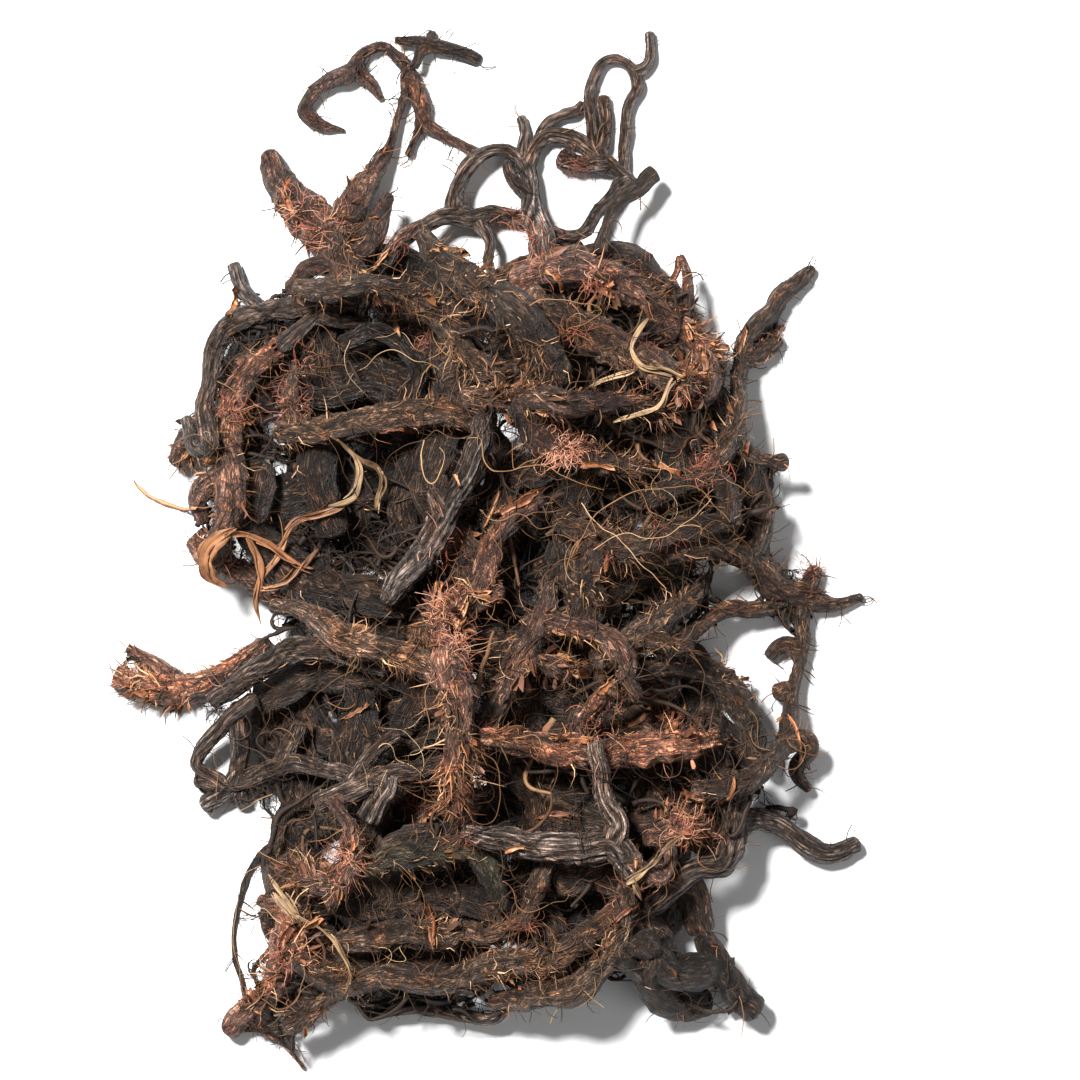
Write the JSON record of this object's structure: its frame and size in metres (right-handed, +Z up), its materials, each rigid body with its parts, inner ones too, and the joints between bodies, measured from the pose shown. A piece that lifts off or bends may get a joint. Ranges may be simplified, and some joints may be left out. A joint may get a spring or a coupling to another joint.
{
  "type": "nutgrass root",
  "caption": "Clump of dried nutgrass rhizomes, tangled and matted by their own wiry roots, with a few dry grass blades, lying flat.",
  "frame": {"origin": "middle of the clump's footprint on the surface that it lies on", "axes": "+Y along the long way of the clump, towards its thin curling end; +X across it; +Z up from the surface"},
  "size_m": [0.2522, 0.3556, 0.053],
  "materials": {
    "dark_bark": "rough dark brown bark in the shade of the clump",
    "grey_bark": "furrowed grey-brown bark, matt",
    "brown_bark": "flaky brown bark with fibres, matt",
    "red_brown_bark": "scaly red-brown bark, shaggy with fibres",
    "olive_bark": "olive brown bark, matt",
    "orange_dry_blade": "papery dry blade",
    "pale_straw": "dry straw"
  },
  "bodies": {
    "root": {"rhizome_under_upper_left": "dark_bark", "rhizome_under_upper_right": "dark_bark", "rhizome_under_mid_left": "dark_bark", "rhizome_under_mid_right": "dark_bark", "rhizome_under_low_left": "dark_bark", "rhizome_under_low_centre": "dark_bark", "rhizome_under_low_right": "dark_bark", "rhizome_under_centre": "dark_bark", "rhizome_inner_upper_left": "dark_bark", "rhizome_inner_upper_centre": "dark_bark", "rhizome_inner_upper_right": "dark_bark", "rhizome_inner_right": "dark_bark", "rhizome_inner_left": "dark_bark", "rhizome_inner_low_left": "dark_bark", "rhizome_inner_low_centre": "dark_bark", "rhizome_inner_bottom_left": "dark_bark", "rhizome_inner_bottom_right": "dark_bark", "rhizome_bottom_edge": "grey_bark", "rhizome_bottom_round_end": "brown_bark", "rhizome_lower_right_fork": "dark_bark", "rhizome_right_lower_arm": "grey_bark", "rhizome_right_knee": "brown_bark", "rhizome_right_upper_stick": "brown_bark", "rhizome_right_arm": "brown_bark", "rhizome_left_low": "grey_bark", "rhizome_left_end_club": "red_brown_bark", "rhizome_left_plank": "grey_bark", "rhizome_left_red_vertical": "red_brown_bark", "rhizome_left_dark_bend": "grey_bark", "rhizome_upper_left_crown": "red_brown_bark", "rhizome_top_stick": "dark_bark", "rhizome_great_arch": "grey_bark", "rhizome_right_top_stick": "dark_bark", "rhizome_upper_mat_left": "brown_bark", "rhizome_upper_mid": "grey_bark", "rhizome_upper_red_mass": "red_brown_bark", "rhizome_upper_thick_right": "brown_bark", "rhizome_upper_thick": "brown_bark", "rhizome_cross_left": "brown_bark", "rhizome_cross_right": "red_brown_bark", "rhizome_grey_grooved": "grey_bark", "rhizome_olive_mat": "brown_bark", "rhizome_mid_right_stub": "brown_bark", "rhizome_diagonal_red": "red_brown_bark", "rhizome_left_mid_shaggy": "brown_bark", "rhizome_low_grooved": "grey_bark", "rhizome_big_pink": "red_brown_bark", "rhizome_centre_post": "red_brown_bark", "rhizome_olive_root": "olive_bark", "rhizome_flaky_knob": "red_brown_bark", "rhizome_lower_brown": "brown_bark", "rhizome_bottom_left_leg": "red_brown_bark", "rhizome_bottom_mat": "brown_bark", "rhizome_grey_knuckle": "grey_bark", "rhizome_right_low_knob": "red_brown_bark", "dry_leaf_orange": "orange_dry_blade", "dry_straw_upper_left": "pale_straw", "dry_straw_upper_right": "pale_straw", "dry_straw_low_right": "pale_straw", "dry_straw_low_left": "pale_straw"}
  },
  "joints": []
}
